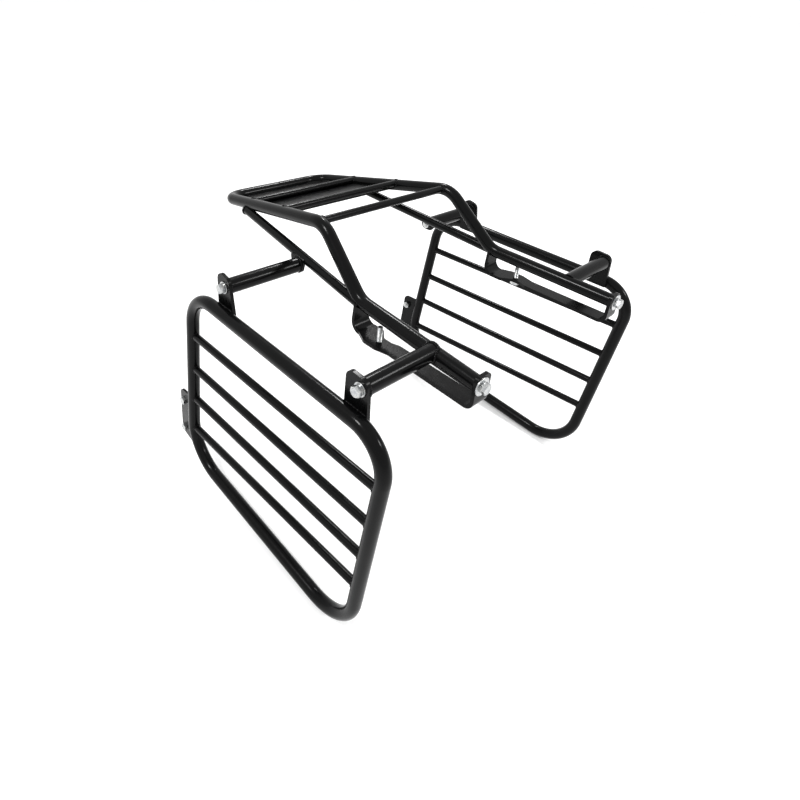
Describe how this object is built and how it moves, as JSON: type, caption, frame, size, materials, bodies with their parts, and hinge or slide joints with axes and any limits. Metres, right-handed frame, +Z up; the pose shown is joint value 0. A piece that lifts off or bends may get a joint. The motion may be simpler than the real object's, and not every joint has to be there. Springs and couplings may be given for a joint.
{
  "type": "motorcycle luggage rack",
  "caption": "Rigid rear luggage rack of bent black tube with a sloping top rack, two barred pannier frames on spacer arms, and bright zinc bolts.",
  "frame": {"origin": "on the centre plane, half way between the two upright rail bolts, on the top face of the rail plates", "axes": "+X to the rider's right, +Y forwards along the rails, +Z up, square to the rail plates"},
  "size_m": [0.586, 0.642, 0.4962],
  "materials": {
    "black_coat": "gloss powder coat",
    "zinc": "bright zinc plate"
  },
  "bodies": {
    "root": {"arm_bolt_front_left": "zinc", "arm_bolt_front_right": "zinc", "arm_bolt_rear_left": "zinc", "arm_bolt_rear_right": "zinc", "arm_front_left": "black_coat", "arm_front_right": "black_coat", "arm_rear_left": "black_coat", "arm_rear_right": "black_coat", "brace_bolts_left": "zinc", "brace_bolts_right": "zinc", "brace_nuts": "zinc", "brace_plate_left": "black_coat", "brace_plate_right": "black_coat", "crossbar_front": "black_coat", "crossbar_middle": "black_coat", "crossbar_rear": "black_coat", "deck_plate": "black_coat", "ear_front_left": "black_coat", "ear_front_right": "black_coat", "ear_rear_left": "black_coat", "ear_rear_right": "black_coat", "ear_spring_washers": "zinc", "ear_washers": "zinc", "flange_bolt_left": "zinc", "flange_bolt_right": "zinc", "flange_spring_washers": "zinc", "flange_washers": "zinc", "front_arm_stub_left": "black_coat", "front_arm_stub_right": "black_coat", "lug_nuts": "zinc", "main_loop_tube": "black_coat", "pannier_bar_1_left": "black_coat", "pannier_bar_1_right": "black_coat", "pannier_bar_2_left": "black_coat", "pannier_bar_2_right": "black_coat", "pannier_bar_3_left": "black_coat", "pannier_bar_3_right": "black_coat", "pannier_bar_4_left": "black_coat", "pannier_bar_4_right": "black_coat", "pannier_frame_left": "black_coat", "pannier_frame_right": "black_coat", "rail_bolt_left": "zinc", "rail_bolt_right": "zinc", "rail_bolt_washers": "zinc", "rail_plate_left": "black_coat", "rail_plate_right": "black_coat", "rear_arm_boss_left": "black_coat", "rear_arm_boss_right": "black_coat", "strut_left": "black_coat", "strut_lug_left": "black_coat", "strut_lug_right": "black_coat", "strut_right": "black_coat"}
  },
  "joints": []
}
